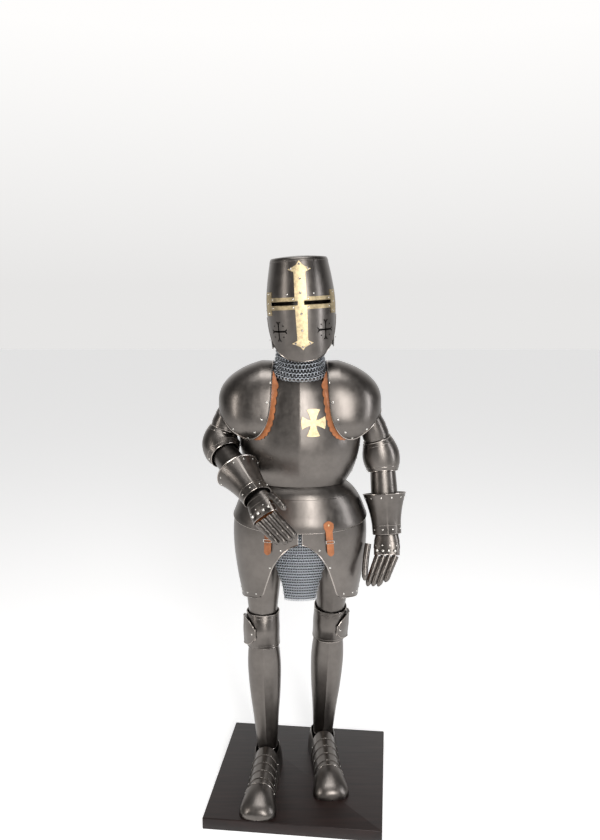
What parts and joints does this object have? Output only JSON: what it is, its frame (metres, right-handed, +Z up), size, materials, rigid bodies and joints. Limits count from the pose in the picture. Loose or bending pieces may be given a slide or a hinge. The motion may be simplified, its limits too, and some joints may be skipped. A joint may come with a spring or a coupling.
{
  "type": "suit of plate armour on a wooden display base",
  "caption": "Full suit of dark plate armour with a great helm, brass crosses and leather trims, standing on a dark wooden base.",
  "frame": {"origin": "middle of the display base's underside", "axes": "+Z up, the armour faces -Y, and +X is the wearer's left"},
  "size_m": [0.7083, 0.6632, 1.8975],
  "materials": {
    "dark_steel": "polished, darkened",
    "bright_steel": "polished",
    "brass": "polished",
    "mail": "linked rings",
    "leather": "tan, matt",
    "dark_wood": "stained and varnished"
  },
  "bodies": {
    "root": {"helm_skull": "dark_steel", "helm_face": "dark_steel", "helm_back": "dark_steel", "helm_brow_band": "brass", "helm_cross": "brass", "breastplate": "dark_steel", "backplate": "dark_steel", "breast_cross": "brass", "mail_collar": "mail", "fauld": "dark_steel", "culet": "dark_steel", "tasset_left": "dark_steel", "tasset_right": "dark_steel", "strap_right": "leather", "strap_keeper_right": "bright_steel", "strap_left": "leather", "strap_keeper_left": "bright_steel", "mail_skirt": "mail", "pauldron_left": "dark_steel", "rerebrace_left": "dark_steel", "couter_left": "dark_steel", "vambrace_left": "dark_steel", "gauntlet_cuff_left": "dark_steel", "gauntlet_hand_left": "dark_steel", "cuisse_left": "dark_steel", "poleyn_left": "dark_steel", "poleyn_wing_left": "dark_steel", "greave_left": "dark_steel", "sabaton_left": "dark_steel", "toe_cap_left": "dark_steel", "pauldron_trim_left": "leather", "finger_index_left": "dark_steel", "finger_middle_left": "dark_steel", "finger_ring_left": "dark_steel", "finger_little_left": "dark_steel", "thumb_left": "dark_steel", "pauldron_right": "dark_steel", "rerebrace_right": "dark_steel", "couter_right": "dark_steel", "vambrace_right": "dark_steel", "gauntlet_cuff_right": "dark_steel", "gauntlet_hand_right": "dark_steel", "cuisse_right": "dark_steel", "poleyn_right": "dark_steel", "poleyn_wing_right": "dark_steel", "greave_right": "dark_steel", "sabaton_right": "dark_steel", "toe_cap_right": "dark_steel", "pauldron_trim_right": "leather", "finger_index_right": "dark_steel", "finger_middle_right": "dark_steel", "finger_ring_right": "dark_steel", "finger_little_right": "dark_steel", "thumb_right": "dark_steel", "display_base": "dark_wood"}
  },
  "joints": []
}
